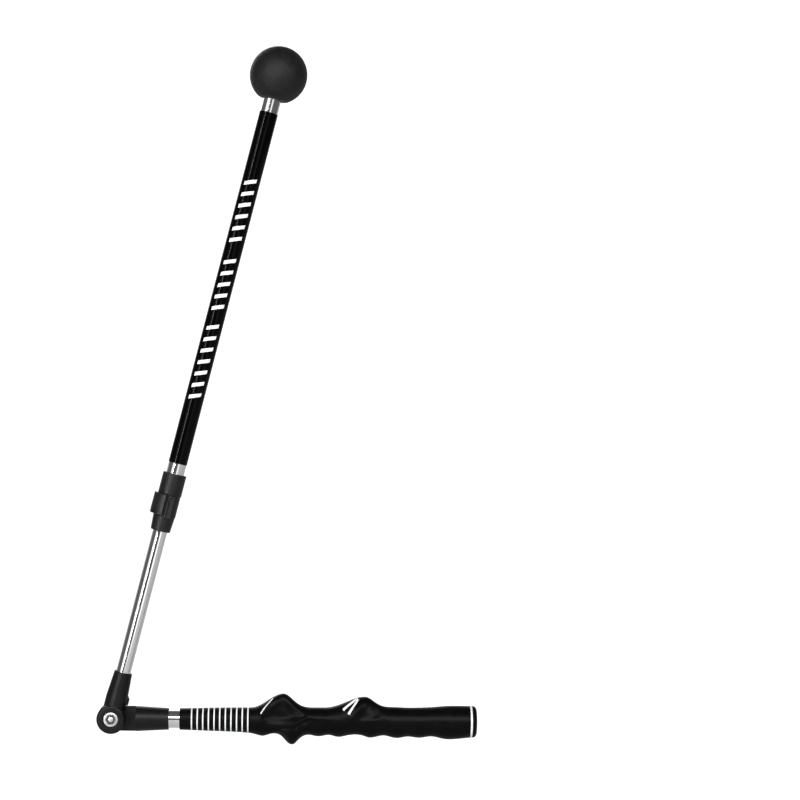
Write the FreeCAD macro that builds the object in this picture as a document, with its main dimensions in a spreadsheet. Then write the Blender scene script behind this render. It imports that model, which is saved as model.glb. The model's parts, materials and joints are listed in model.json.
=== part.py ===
"""Swing trainer stick: a contoured golf grip hinged to a telescopic arm with a ball at its tip.

The row frame has its origin on the grip's axis, midway between the two hands.  +X runs along the
grip towards its butt, +Z points up, in the plane in which the arm folds, and the hinge bolt lies
along Y with its head at -Y.  Lengths are in millimetres and angles in degrees.

Each sub-part is drawn in a frame of its own and then placed:
  handle parts  local +Z is the distance from the hinge along the grip, local -X is up
  arm parts     local +Z is the distance from the hinge along the arm, local +X faces the grip
  bolt parts    local +Z points along the hinge bolt towards its head
"""
import FreeCAD, Part

import math
import os

import Sketcher
from FreeCAD import Rotation, Vector

SHEET = "Sizes"

# alias, value, what it measures
DIMENSIONS = [
    ("fold_angle", 76.0, "inside angle between the grip and the arm as stored"),
    ("overrun", 1.0, "how far a cutter runs past the face it opens"),
    ("grip_centre", 195.0, "from the hinge to the middle of the hold"),

    ("lap_gap", 0.5, "from the hinge's middle plane to each knuckle's flat"),
    ("knuckle_radius", 13.0, "disc of each knuckle around the bolt"),
    ("knuckle_depth", 10.5, "from the hinge's middle plane to a knuckle's outer face"),
    ("knuckle_round", 2.6, "rounding of a knuckle's outer edge"),
    ("handle_shoulder", 22.0, "where the handle knuckle becomes a full round"),
    ("handle_socket_root", 11.3, "radius of the handle knuckle at its shoulder"),
    ("handle_socket_rim", 9.65, "radius of the handle knuckle at its mouth"),
    ("handle_socket_end", 51.7, "mouth of the handle knuckle"),
    ("arm_shoulder", 19.5, "where the arm knuckle becomes a full round"),
    ("arm_socket_root", 9.8, "radius of the arm knuckle at its shoulder"),
    ("arm_socket_rim", 8.1, "radius of the arm knuckle at its mouth"),
    ("arm_socket_end", 43.0, "mouth of the arm knuckle"),
    ("socket_floor", 25.0, "where both tubes bottom out in their knuckles"),
    ("stop_inside", 6.0, "inner side of the fold stop, from the arm's axis"),
    ("stop_outside", 11.3, "outer side of the fold stop, from the arm's axis"),
    ("stop_inner_height", 13.4, "underside of the fold stop at its inner side"),
    ("stop_outer_height", 14.6, "underside of the fold stop at its outer side"),
    ("stop_depth", 7.5, "how far back the fold stop reaches"),
    ("stop_foot", 2.0, "step of the fold stop where it enters the shoulder"),
    ("stop_bite", 3.0, "depth of the fold stop inside the shoulder"),
    ("lap_reach", 20.0, "half the width of the cut that makes each lap"),

    ("bolt_radius", 4.0, "M8 hinge bolt"),
    ("bolt_play", 0.05, "radial clearance of what turns on the bolt"),
    ("head_radius", 6.6, "bolt head"),
    ("head_height", 4.2, "bolt head"),
    ("head_recess_radius", 7.2, "recess for the bolt head"),
    ("head_recess_depth", 5.5, "recess for the bolt head"),
    ("head_seat", 5.8, "underside of the bolt head from the middle plane"),
    ("head_washer_radius", 6.8, "spring washer under the bolt head"),
    ("head_washer_thickness", 0.75, "spring washer under the bolt head"),
    ("bolt_end", 10.0, "end of the bolt behind the middle plane"),
    ("bolt_chamfer", 0.6, "bolt's end and head"),
    ("key_width", 7.6, "hexagon socket across its flats"),
    ("key_depth", 2.6, "hexagon socket"),
    ("nut_width", 13.0, "M8 lock nut across its flats"),
    ("nut_height", 6.2, "M8 lock nut"),
    ("nut_ring_height", 1.6, "nylon ring in the lock nut"),
    ("nut_ring_radius", 5.3, "nylon ring in the lock nut"),
    ("nut_recess_depth", 6.7, "hexagonal recess for the lock nut"),
    ("nut_chamfer", 0.7, "corners of the lock nut"),
    ("friction_radius", 12.0, "friction washer between the knuckles"),

    ("shaft_radius", 8.0, "handle shaft"),
    ("shaft_wall", 0.9, "handle shaft"),
    ("shaft_end", 302.0, "end of the handle shaft inside the grip"),
    ("inner_radius", 6.5, "inner tube of the arm"),
    ("inner_wall", 0.8, "inner tube of the arm"),
    ("inner_end", 290.0, "top of the inner tube"),
    ("outer_radius", 8.0, "outer tube of the arm"),
    ("outer_wall", 0.8, "outer tube of the arm"),
    ("outer_start", 206.5, "bottom of the outer tube inside the clamp"),
    ("outer_end", 590.0, "top of the outer tube inside the ball"),
    ("film_start", 237.0, "bottom of the film sleeve"),
    ("film_end", 562.8, "top of the film sleeve"),
    ("film_thickness", 0.45, "film sleeve"),
    ("pin_radius", 1.5, "cross pins"),
    ("pin_cut_depth", 15.0, "start of the pin holes behind the tube's axis"),
    ("handle_pin_tail", 9.8, "rear end of the handle knuckle's cross pin"),
    ("arm_pin_tail", 8.9, "rear end of the arm knuckle's cross pin"),
    ("handle_pin_at", 38.0, "cross pin of the handle knuckle"),
    ("arm_pin_at", 34.0, "cross pin of the arm knuckle"),

    ("guide_head", 10.0, "length of the guide bush above the inner tube"),
    ("guide_spigot", 14.0, "length of the guide bush inside the inner tube"),
    ("guide_play", 0.08, "radial clearance of the guide bush"),
    ("guide_bore", 3.5, "air hole through the guide bush"),
    ("guide_chamfer", 1.0, "top edge of the guide bush"),

    ("clamp_bottom", 174.3, "lower rim of the clamp"),
    ("clamp_top", 227.4, "upper rim of the clamp"),
    ("waist_bottom", 188.4, "lower end of the clamp's lever zone"),
    ("waist_top", 208.2, "upper end of the clamp's lever zone"),
    ("neck_round", 1.2, "rounding of the clamp's lower rim"),
    ("neck_tip_radius", 9.0, "clamp neck above its lower rim"),
    ("neck_bend", 185.7, "where the clamp neck starts to taper"),
    ("neck_radius", 9.9, "clamp neck below the lever"),
    ("neck_bend_radius", 9.7, "clamp neck where it starts to taper"),
    ("waist_radius", 10.2, "clamp body in the lever zone"),
    ("collar_radius", 10.65, "clamp collar on the outer tube"),
    ("collar_round", 0.6, "rounding of the collar's upper rim"),
    ("liner_radius", 7.6, "bore for the clamp's liner"),
    ("liner_bottom", 175.2, "lower end of the liner"),
    ("liner_top", 205.0, "upper end of the liner"),
    ("liner_play", 0.06, "radial clearance of the inner tube in the liner"),
    ("land_radius", 6.9, "bore of the clamp between the liner and the outer tube"),
    ("tab_bottom", 173.1, "lower end of the liner's index tab"),
    ("tab_left", 1.9, "left side of the index tab, from the tube's axis"),
    ("tab_right", 0.4, "right side of the index tab, from the tube's axis"),
    ("tab_inset", 0.2, "index tab inside both faces of the liner"),
    ("catch_left", 0.35, "left side of the raised catch"),
    ("catch_right", 6.2, "right side of the raised catch"),
    ("catch_front", 12.9, "front of the raised catch, from the tube's axis"),
    ("catch_bottom", 187.3, "lower end of the raised catch"),
    ("catch_top", 207.3, "upper end of the raised catch"),
    ("catch_rim", 1.35, "width of the raised rim of the catch"),
    ("catch_recess", 1.7, "depth of the recess in the catch"),
    ("catch_root", 8.2, "root of the catch inside the clamp body"),
    ("catch_edge", 0.45, "rounding of the catch's front edges"),

    ("lever_bottom", 188.9, "lower edge of the clamp lever"),
    ("lever_top", 207.8, "upper edge of the clamp lever"),
    ("lever_outside", 13.6, "outer radius of the lever's shell"),
    ("lever_inside", 11.2, "inner radius of the lever's shell"),
    ("lever_edge", 0.5, "rounding of the lever's outer edges"),
    ("lever_front_angle", 263.0, "front end of the lever's shell, about the tube"),
    ("lever_root_angle", 192.0, "root end of the lever's shell above and below its barrel"),
    ("lever_barrel_angle", 176.0, "root end of the lever's shell at its barrel"),
    ("lever_pin_left", 11.2, "lever pin, left of the tube's axis"),
    ("lever_pin_behind", 0.5, "lever pin, behind the tube's axis"),
    ("lever_pin_radius", 1.25, "lever pin"),
    ("barrel_radius", 2.4, "lever barrel and body ears around the pin"),
    ("ear_height", 2.2, "each ear that holds the lever pin"),
    ("ear_play", 0.35, "between the lever and the ears"),
    ("ear_root", 8.1, "root of each ear inside the clamp body"),
    ("cam_radius", 2.3, "eccentric cam on the lever"),
    ("cam_offset", 0.6, "eccentricity of the cam"),
    ("cam_relief", 0.15, "radial clearance of the cam in the clamp body"),
    ("cam_inset", 0.2, "cam inside each end of the brake pad"),
    ("pad_bottom", 192.9, "lower end of the brake pad"),
    ("pad_top", 203.9, "upper end of the brake pad"),
    ("pad_half_width", 2.7, "half the width of the brake pad"),
    ("pad_play", 0.3, "clearance of the pad in its window"),
    ("pad_inside", 4.8, "inner side of the pad before it is cut to the tube"),
    ("window_inside", 4.5, "inner side of the pad's window"),
    ("pad_gap", 0.05, "gap left between the pad and what it presses on"),

    ("ball_radius", 25.9, "ball at the tip"),
    ("ball_centre", 598.0, "centre of the ball"),
    ("ball_base", 575.4, "flat underside of the ball"),
    ("ball_edge", 0.8, "rounding of the ball's underside"),
    ("hub_flange_radius", 12.0, "flange of the hub inside the ball"),
    ("hub_flange_top", 594.0, "upper face of the hub's flange"),
    ("hub_nose_radius", 7.0, "nose of the hub inside the ball"),
    ("hub_nose_top", 606.0, "top of the hub's nose"),
    ("hub_spigot_start", 568.0, "lower end of the hub's spigot in the outer tube"),
    ("hub_pin_at", 583.0, "cross pin of the hub"),
    ("hub_pin_length", 15.8, "cross pin of the hub"),

    ("butt_start", 322.4, "where the butt cap meets the grip"),
    ("butt_end", 328.3, "end of the butt cap"),
    ("butt_radius", 14.1, "butt cap"),
    ("butt_round", 3.6, "rounding of the butt cap"),
    ("cap_plug_start", 302.5, "inner end of the cap's plug in the grip"),
    ("cap_spigot_start", 296.0, "inner end of the cap's spigot in the shaft"),
    ("vent_radius", 1.6, "vent hole through the butt cap"),
    ("ring_first", 72.4, "first ring groove of the grip"),
    ("ring_pitch", 5.05, "from one ring groove to the next"),
    ("ring_width", 1.35, "ring groove"),
    ("ring_depth", 0.4, "ring groove"),
    ("neck_start_radius", 9.95, "grip at its first ring groove"),
    ("neck_growth", 0.125, "growth of the grip's radius from one ring groove to the next"),
]
RING_COUNT = 11
GRIP_SECTION_COUNT = 67

# From the width of a hexagon across its flats to its circumradius and to half of its side.
CORNER_SHARE = 1 / math.sqrt(3)
HALF_SIDE_SHARE = CORNER_SHARE / 2

# How near two lengths have to be to count as the same.
SAME_LENGTH = 1e-3

# Stations of the grip from its hinge end to its butt: distance from the hinge, top above the
# axis, bottom below the axis, half of the width across.  The first hump is the thumb rest with
# the finger hook under it, the second hump parts the hands, and the small waves are finger seats.
GRIP_STATIONS = [
    (61.5, 9.6, 9.6, 9.6),
    (72.0, 9.95, 9.95, 9.95),
    (97.0, 10.6, 10.6, 10.6),
    (122.0, 11.0, 11.6, 11.2),
    (129.0, 11.4, 12.8, 11.4),
    (136.0, 14.6, 14.5, 11.6),
    (141.0, 17.9, 13.2, 11.6),
    (146.0, 21.1, 12.1, 11.6),
    (151.0, 23.3, 12.9, 11.4),
    (154.5, 23.9, 15.6, 11.2),
    (157.5, 23.3, 19.2, 11.3),
    (160.0, 21.5, 21.4, 11.4),
    (162.5, 19.2, 22.3, 11.4),
    (165.0, 17.0, 21.3, 11.5),
    (168.5, 14.3, 17.4, 11.7),
    (172.5, 12.4, 14.2, 11.8),
    (177.0, 11.6, 12.9, 11.8),
    (186.5, 11.5, 14.4, 11.7),
    (195.5, 11.8, 12.9, 11.8),
    (204.5, 14.1, 14.8, 11.9),
    (212.0, 17.2, 13.3, 11.9),
    (220.5, 20.6, 12.4, 11.7),
    (227.5, 21.7, 13.7, 11.6),
    (232.0, 20.6, 15.2, 11.7),
    (238.0, 16.2, 14.3, 11.9),
    (245.0, 13.1, 12.9, 12.0),
    (256.5, 12.5, 15.3, 12.0),
    (266.5, 12.1, 13.7, 11.8),
    (277.0, 12.3, 14.8, 12.0),
    (288.0, 12.8, 13.4, 12.2),
    (302.0, 14.0, 15.9, 13.4),
    (322.4, 14.1, 14.2, 14.0),
]


def fill_sheet(doc):
    """Write the driving dimensions into the sheet, one alias to a row."""
    sheet = doc.addObject("Spreadsheet::Sheet", SHEET)
    for row, (alias, value, meaning) in enumerate(DIMENSIONS, start=1):
        sheet.set(f"A{row}", alias)
        sheet.set(f"B{row}", str(value))
        sheet.set(f"C{row}", meaning)
        sheet.setAlias(f"B{row}", alias)
    doc.recompute()
    return sheet


def fill_station_sheet(doc):
    """Write the grip's stations into a sheet of their own: columns A to D, one station to a row."""
    stations = doc.addObject("Spreadsheet::Sheet", "GripStations")
    for row, station in enumerate(GRIP_STATIONS, start=1):
        for column, value in zip("ABCD", station):
            stations.set(f"{column}{row}", str(value))
    doc.recompute()


def cells(formula):
    """Turn bare aliases in a formula into references to the sheet."""
    words = []
    for word in formula.split():
        is_alias = word[0].isalpha() and "(" not in word
        words.append(f"{SHEET}.{word}" if is_alias else word)
    return " ".join(words)


def value_of(formula):
    """The present value of a formula of sheet aliases."""
    return float(sizes.evalExpression(formula))


def bind(thing, target, formula):
    """Bind one property or constraint of a document object to a formula of sheet aliases."""
    thing.setExpression(target, cells(formula))


# ---------------------------------------------------------------- drawing and feature helpers

def new_body(label):
    body = doc.addObject("PartDesign::Body", label)
    body.Label = label
    return body


def new_sketch(body, name, plane, offset=None):
    """A sketch on one of the body's own origin planes, moved along the plane's normal."""
    sketch = body.newObject("Sketcher::SketchObject", name)
    support = next(item for item in body.Origin.OriginFeatures if item.Role == plane)
    sketch.AttachmentSupport = [(support, "")]
    sketch.MapMode = "FlatFace"
    if offset:
        bind(sketch, "AttachmentOffset.Base.z", offset)
    return sketch


def fix_coordinate(sketch, kind, curve, point, formula):
    """Hold one coordinate of a sketch point at a formula's value."""
    value = value_of(formula)
    if abs(value) < 1e-9:
        axis = -2 if kind == "DistanceX" else -1
        sketch.addConstraint(Sketcher.Constraint("PointOnObject", curve, point, axis))
    elif value > 0:
        index = sketch.addConstraint(Sketcher.Constraint(kind, -1, 1, curve, point, value))
        bind(sketch, f"Constraints[{index}]", formula)
    else:
        index = sketch.addConstraint(Sketcher.Constraint(kind, curve, point, -1, 1, -value))
        bind(sketch, f"Constraints[{index}]", f"-1 * ( {formula} )")


def fix_point(sketch, curve, point, place):
    fix_coordinate(sketch, "DistanceX", curve, point, place[0])
    fix_coordinate(sketch, "DistanceY", curve, point, place[1])


def outward_arc(start, end, radius):
    """The arc shorter than a half circle that runs anticlockwise from start to end."""
    chord = end - start
    rise = math.sqrt(radius ** 2 - (chord.Length / 2) ** 2)
    left = Vector(-chord.y, chord.x, 0).normalize()
    centre = (start + end) * 0.5 + left * rise
    from_angle = math.atan2(start.y - centre.y, start.x - centre.x)
    to_angle = math.atan2(end.y - centre.y, end.x - centre.x)
    if to_angle < from_angle:
        to_angle += 2 * math.pi
    return Part.ArcOfCircle(Part.Circle(centre, Vector(0, 0, 1), radius), from_angle, to_angle)


def draw_outline(sketch, corners):
    """Draw a closed outline, anticlockwise, through corners given as pairs of formulas.

    A third formula makes the side that leaves the corner an outward arc of that radius.
    """
    places = [Vector(value_of(corner[0]), value_of(corner[1]), 0) for corner in corners]
    first = sketch.GeometryCount
    for corner, start, end in zip(corners, places, places[1:] + places[:1]):
        has_arc = len(corner) == 3
        if not has_arc:
            number = sketch.addGeometry(Part.LineSegment(start, end))
        else:
            number = sketch.addGeometry(outward_arc(start, end, value_of(corner[2])))
            index = sketch.addConstraint(Sketcher.Constraint("Radius", number, value_of(corner[2])))
            bind(sketch, f"Constraints[{index}]", corner[2])
    for number, corner in enumerate(corners):
        following = first + (number + 1) % len(corners)
        sketch.addConstraint(Sketcher.Constraint("Coincident", first + number, 2, following, 1))
        fix_point(sketch, first + number, 1, corner)


def draw_rectangle(sketch, left, bottom, right, top):
    draw_outline(sketch, [(left, bottom), (right, bottom), (right, top), (left, top)])


def draw_circle(sketch, centre, radius):
    middle = Vector(value_of(centre[0]), value_of(centre[1]), 0)
    circle = sketch.addGeometry(Part.Circle(middle, Vector(0, 0, 1), value_of(radius)))
    fix_point(sketch, circle, 3, centre)
    index = sketch.addConstraint(Sketcher.Constraint("Radius", circle, value_of(radius)))
    bind(sketch, f"Constraints[{index}]", radius)


def draw_hexagon(sketch, width, upright=False):
    """Draw a hexagon about the origin, with corners on the sketch's X axis or, upright, on its Y."""
    half = f"{width} / 2"
    side = f"{width} * {HALF_SIDE_SHARE:.6f}"
    corner = f"{width} * {CORNER_SHARE:.6f}"
    corners = [(corner, "0"), (side, half), (f"-1 * {side}", half), (f"-1 * {corner}", "0"),
               (f"-1 * {side}", f"-1 * {half}"), (side, f"-1 * {half}")]
    if upright:
        corners = [(across, along) for along, across in corners]
    draw_outline(sketch, corners)


def revolve(body, name, sketch, axis="V_Axis", cut=False):
    feature = body.newObject("PartDesign::Groove" if cut else "PartDesign::Revolution", name)
    feature.Profile = sketch
    feature.ReferenceAxis = (sketch, [axis])
    feature.Angle = 360
    return feature


def extrude(body, name, sketch, length, cut=False, backwards=False, both_ways=False):
    """Pad or pocket a sketch.  A pad goes along the sketch's normal and a pocket against it."""
    feature = body.newObject("PartDesign::Pocket" if cut else "PartDesign::Pad", name)
    feature.Profile = sketch
    bind(feature, "Length", length)
    feature.Reversed = backwards
    feature.Midplane = both_ways
    return feature


def turned(body, name, profile, cut=False):
    """Turn a (radius, height) outline about the body's Z axis."""
    sketch = new_sketch(body, f"{name}_profile", "XZ_Plane")
    draw_outline(sketch, profile)
    return revolve(body, name, sketch, cut=cut)


def dress_edges(body, kind, name, amount, wanted):
    """Fillet or chamfer those edges of the body's tip for which wanted(edge) is true."""
    doc.recompute()
    base = body.Tip
    edges = [f"Edge{number}" for number, edge in enumerate(base.Shape.Edges, start=1)
             if wanted(edge)]
    feature = body.newObject(f"PartDesign::{kind}", name)
    feature.Base = (base, edges)
    bind(feature, "Radius" if kind == "Fillet" else "Size", amount)
    return feature


def is_level(edge, height):
    """True for an edge that lies flat at this height."""
    box = edge.BoundBox
    return abs(box.ZMin - height) < SAME_LENGTH and abs(box.ZMax - height) < SAME_LENGTH


# ---------------------------------------------------------------- placing

def place(item, group):
    """Put a finished sub-part where its group lies in the row frame."""
    bind(item, "Placement.Base.x", "-1 * grip_centre")
    if group == "handle":
        item.Placement.Rotation = Rotation(Vector(0, 1, 0), 90)
    elif group == "arm":
        item.Placement.Rotation = Rotation(Vector(0, 1, 0), 90 - size["fold_angle"])
    elif group == "bolt":
        item.Placement.Rotation = Rotation(Vector(1, 0, 0), 90)
    sub_parts.append(item)
    return item


# ---------------------------------------------------------------- hinge

def make_knuckle(label, front, shoulder, root, rim, end, tube, pin_at):
    """One half of the lapped hinge: a half-thickness disc that grows into a tapered tube socket."""
    side = -1 if front else 1
    body = new_body(label)
    turned(body, "socket", [("0", "0"), (root, "0"), (root, shoulder), (rim, end), ("0", end)])

    lap = new_sketch(body, "lap_outline", "XZ_Plane", offset=f"{-side} * lap_gap")
    draw_rectangle(lap, "-1 * lap_reach", "-1 * lap_reach", "lap_reach", shoulder)
    extrude(body, "lap", lap, "knuckle_radius * 2", cut=True, backwards=not front)

    disc = new_sketch(body, "disc_profile", "YZ_Plane")
    flat = f"{side} * lap_gap"
    face = f"{side} * knuckle_depth"
    face_edge = (face, "knuckle_radius - knuckle_round")
    rim_edge = (f"{side} * ( knuckle_depth - knuckle_round )", "knuckle_radius")
    if front:
        draw_outline(disc, [(flat, "0"), (flat, "knuckle_radius"), rim_edge + ("knuckle_round",),
                            face_edge, (face, "0")])
    else:
        draw_outline(disc, [(flat, "0"), (face, "0"), face_edge + ("knuckle_round",), rim_edge,
                            (flat, "knuckle_radius")])
    revolve(body, "disc", disc, axis="H_Axis")

    mouth = f"{end} + overrun"
    turned(body, "tube_seat", [("0", "socket_floor"), (tube, "socket_floor"), (tube, mouth),
                               ("0", mouth)], cut=True)
    bolt = new_sketch(body, "bolt_circle", "XZ_Plane")
    draw_circle(bolt, ("0", "0"), "bolt_radius + bolt_play")
    extrude(body, "bolt_bore", bolt, "knuckle_depth * 3", cut=True, both_ways=True)

    pin = new_sketch(body, "pin_circle", "XZ_Plane", offset="-1 * pin_cut_depth")
    draw_circle(pin, ("0", pin_at), "pin_radius")
    extrude(body, "pin_hole", pin, f"pin_cut_depth + {tube}", cut=True, backwards=True)
    return body


def make_arm_knuckle():
    body = make_knuckle("arm_knuckle", True, "arm_shoulder", "arm_socket_root",
                        "arm_socket_rim", "arm_socket_end", "inner_radius", "arm_pin_at")
    recess = new_sketch(body, "head_circle", "XZ_Plane", offset="knuckle_depth + overrun")
    draw_circle(recess, ("0", "0"), "head_recess_radius")
    extrude(body, "head_recess", recess, "head_recess_depth + overrun", cut=True)
    stop = new_sketch(body, "stop_outline", "XZ_Plane", offset="-1 * lap_gap")
    draw_outline(stop, [("stop_inside", "stop_inner_height"), ("stop_outside", "stop_outer_height"),
                        ("stop_outside", "arm_shoulder"),
                        ("stop_outside - stop_foot", "arm_shoulder + stop_bite"),
                        ("stop_inside", "arm_shoulder + stop_bite")])
    extrude(body, "stop", stop, "stop_depth", backwards=True)
    return place(body, "arm")


def make_handle_knuckle():
    body = make_knuckle("handle_knuckle", False, "handle_shoulder", "handle_socket_root",
                        "handle_socket_rim", "handle_socket_end", "shaft_radius", "handle_pin_at")
    recess = new_sketch(body, "nut_hexagon", "XZ_Plane", offset="-1 * ( knuckle_depth + overrun )")
    draw_hexagon(recess, "nut_width")
    extrude(body, "nut_recess", recess, "nut_recess_depth + overrun", cut=True, backwards=True)
    return place(body, "handle")


def make_cross_pin(label, group, tube, pin_at, tail):
    """A pin that enters its knuckle from the back and ends in the front wall of the tube."""
    body = new_body(label)
    circle = new_sketch(body, "circle", "XZ_Plane", offset=tube)
    draw_circle(circle, ("0", pin_at), "pin_radius")
    extrude(body, "pin", circle, f"{tube} + {tail}", backwards=True)
    return place(body, group)


def make_washer(label, bore, radius, low, high):
    body = new_body(label)
    turned(body, "ring", [(bore, low), (radius, low), (radius, high), (bore, high)])
    return place(body, "bolt")


def make_hinge_bolt():
    body = new_body("hinge_bolt")
    head_top = "head_seat + head_height"
    turned(body, "blank", [
        ("0", "-1 * bolt_end"), ("bolt_radius - bolt_chamfer", "-1 * bolt_end"),
        ("bolt_radius", "bolt_chamfer - bolt_end"), ("bolt_radius", "head_seat"),
        ("head_radius", "head_seat"), ("head_radius", f"{head_top} - bolt_chamfer", "bolt_chamfer"),
        ("head_radius - bolt_chamfer", head_top), ("0", head_top)])
    key = new_sketch(body, "key_hexagon", "XY_Plane", offset=head_top)
    draw_hexagon(key, "key_width")
    extrude(body, "key_socket", key, "key_depth", cut=True)
    return place(body, "bolt")


def make_lock_nut():
    body = new_body("lock_nut")
    outside = "-1 * bolt_end"
    hexagon = new_sketch(body, "hexagon", "XY_Plane", offset=outside)
    draw_hexagon(hexagon, "nut_width", upright=True)
    extrude(body, "blank", hexagon, "nut_height")
    corner = f"nut_width * {CORNER_SHARE:.6f}"
    turned(body, "corner_chamfer", [
        (f"{corner} - nut_chamfer", outside), (f"{corner} + overrun", outside),
        (f"{corner} + overrun", f"{outside} + nut_chamfer"), (corner, f"{outside} + nut_chamfer")],
        cut=True)
    below = f"{outside} - overrun"
    turned(body, "bore", [("0", below), ("bolt_radius", below), ("bolt_radius", "0"), ("0", "0")],
           cut=True)
    turned(body, "ring_seat", [
        ("bolt_radius - overrun", outside), ("nut_ring_radius", outside),
        ("nut_ring_radius", f"{outside} + nut_ring_height"),
        ("bolt_radius - overrun", f"{outside} + nut_ring_height")], cut=True)
    return place(body, "bolt")


def make_hinge_hardware():
    make_hinge_bolt()
    make_washer("head_washer", "bolt_radius + bolt_play", "head_washer_radius",
                "head_seat - head_washer_thickness", "head_seat")
    make_washer("friction_washer", "bolt_radius + bolt_play", "friction_radius",
                "-1 * lap_gap", "lap_gap - bolt_play")
    make_lock_nut()
    make_washer("lock_nut_ring", "bolt_radius", "nut_ring_radius",
                "-1 * bolt_end", "nut_ring_height - bolt_end")


# ---------------------------------------------------------------- tubes

def make_tube(label, group, radius, wall, start, end, pin_at=None):
    body = new_body(label)
    bore = f"{radius} - {wall}"
    turned(body, "tube", [(bore, start), (radius, start), (radius, end), (bore, end)])
    if pin_at:
        circle = new_sketch(body, "pin_circle", "XZ_Plane")
        draw_circle(circle, ("0", pin_at), "pin_radius")
        extrude(body, "pin_hole", circle, f"{radius} * 3", cut=True, both_ways=True)
    return place(body, group)


def make_guide_bush():
    body = new_body("guide_bush")
    spigot = "inner_radius - inner_wall - guide_play"
    head = "outer_radius - outer_wall - guide_play"
    seat = "inner_end + bolt_play"
    top = "inner_end + guide_head"
    turned(body, "bush", [
        ("guide_bore", "inner_end - guide_spigot"), (spigot, "inner_end - guide_spigot"),
        (spigot, seat), (head, seat), (head, f"{top} - guide_chamfer"),
        (f"{head} - guide_chamfer", top), ("guide_bore", top)])
    return place(body, "arm")


# ---------------------------------------------------------------- clamp

PIN_SPOT = ("-1 * lever_pin_left", "lever_pin_behind")


def cut_pad_window(body, clearance):
    """Cut the window through which the brake pad reaches the inner tube."""
    window = new_sketch(body, "window_outline", "XY_Plane", offset=f"pad_bottom - {clearance}")
    draw_rectangle(window, "-1 * lever_outside",
                   f"lever_pin_behind - pad_half_width - {clearance}", "-1 * window_inside",
                   f"lever_pin_behind + pad_half_width + {clearance}")
    height = f"pad_top - pad_bottom + 2 * {clearance}"
    extrude(body, "window", window, height, cut=True, backwards=True)


def make_clamp_body():
    body = new_body("clamp_body")
    turned(body, "outside", [
        ("0", "clamp_bottom"), ("neck_tip_radius - neck_round", "clamp_bottom", "neck_round"),
        ("neck_tip_radius", "clamp_bottom + neck_round"), ("neck_bend_radius", "neck_bend"),
        ("neck_radius", "waist_bottom"), ("waist_radius", "waist_bottom"),
        ("waist_radius", "waist_top"), ("collar_radius", "waist_top"),
        ("collar_radius", "clamp_top - collar_round", "collar_round"),
        ("collar_radius - collar_round", "clamp_top"),
        ("0", "clamp_top")])

    catch = new_sketch(body, "catch_outline", "XZ_Plane", offset="catch_root")
    draw_rectangle(catch, "catch_left", "catch_bottom", "catch_right", "catch_top")
    extrude(body, "catch", catch, "catch_front - catch_root")
    dress_edges(body, "Fillet", "catch_rounding", "catch_edge",
                lambda edge: abs(edge.CenterOfMass.y + size["catch_front"]) < SAME_LENGTH)
    recess = new_sketch(body, "recess_outline", "XZ_Plane", offset="catch_front")
    draw_rectangle(recess, "catch_left + catch_rim", "catch_bottom + catch_rim",
                   "catch_right - catch_rim", "catch_top - catch_rim")
    extrude(body, "catch_recess", recess, "catch_recess", cut=True)

    relief = new_sketch(body, "relief_circle", "XY_Plane", offset="lever_bottom")
    draw_circle(relief, PIN_SPOT, "cam_radius + cam_offset + cam_relief")
    extrude(body, "barrel_relief", relief, "lever_top - lever_bottom", cut=True, backwards=True)
    for name, low in (("lower_ear", "lever_bottom"), ("upper_ear", "lever_top - ear_height")):
        ear = new_sketch(body, f"{name}_circle", "XY_Plane", offset=low)
        draw_circle(ear, PIN_SPOT, "barrel_radius")
        extrude(body, name, ear, "ear_height")
        web = new_sketch(body, f"{name}_outline", "XY_Plane", offset=low)
        draw_rectangle(web, "-1 * lever_pin_left", "lever_pin_behind - barrel_radius",
                       "-1 * ear_root", "lever_pin_behind + barrel_radius")
        extrude(body, f"{name}_web", web, "ear_height")

    cut_pad_window(body, "pad_play")
    pin = new_sketch(body, "lever_pin_circle", "XY_Plane", offset="lever_bottom - overrun")
    draw_circle(pin, PIN_SPOT, "lever_pin_radius")
    extrude(body, "lever_pin_hole", pin, "lever_top - lever_bottom + 2 * overrun", cut=True,
            backwards=True)
    turned(body, "bore", [
        ("0", "clamp_bottom - overrun"), ("liner_radius", "clamp_bottom - overrun"),
        ("liner_radius", "liner_top"), ("land_radius", "liner_top"), ("land_radius", "outer_start"),
        ("outer_radius", "outer_start"), ("outer_radius", "clamp_top + overrun"),
        ("0", "clamp_top + overrun")], cut=True)
    return place(body, "arm")


def make_clamp_liner():
    body = new_body("clamp_liner")
    bore = "inner_radius + liner_play"
    turned(body, "sleeve", [(bore, "liner_bottom"), ("liner_radius", "liner_bottom"),
                            ("liner_radius", "liner_top"), (bore, "liner_top")])
    tab = new_sketch(body, "tab_outline", "XY_Plane", offset="tab_bottom")
    draw_rectangle(tab, "-1 * tab_left", "-1 * ( liner_radius - tab_inset )", "-1 * tab_right",
                   "-1 * ( inner_radius + tab_inset )")
    extrude(body, "tab", tab, "liner_bottom - tab_bottom + overrun")
    cut_pad_window(body, "pad_play")
    return place(body, "arm")


def make_brake_pad():
    body = new_body("brake_pad")
    block = new_sketch(body, "block_outline", "XY_Plane", offset="pad_bottom")
    draw_rectangle(block, "cam_radius + cam_offset + pad_gap - lever_pin_left",
                   "lever_pin_behind - pad_half_width", "-1 * pad_inside",
                   "lever_pin_behind + pad_half_width")
    extrude(body, "block", block, "pad_top - pad_bottom")
    turned(body, "tube_face", [
        ("0", "pad_bottom - overrun"), ("inner_radius + pad_gap", "pad_bottom - overrun"),
        ("inner_radius + pad_gap", "pad_top + overrun"), ("0", "pad_top + overrun")], cut=True)
    return place(body, "arm")


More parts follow.
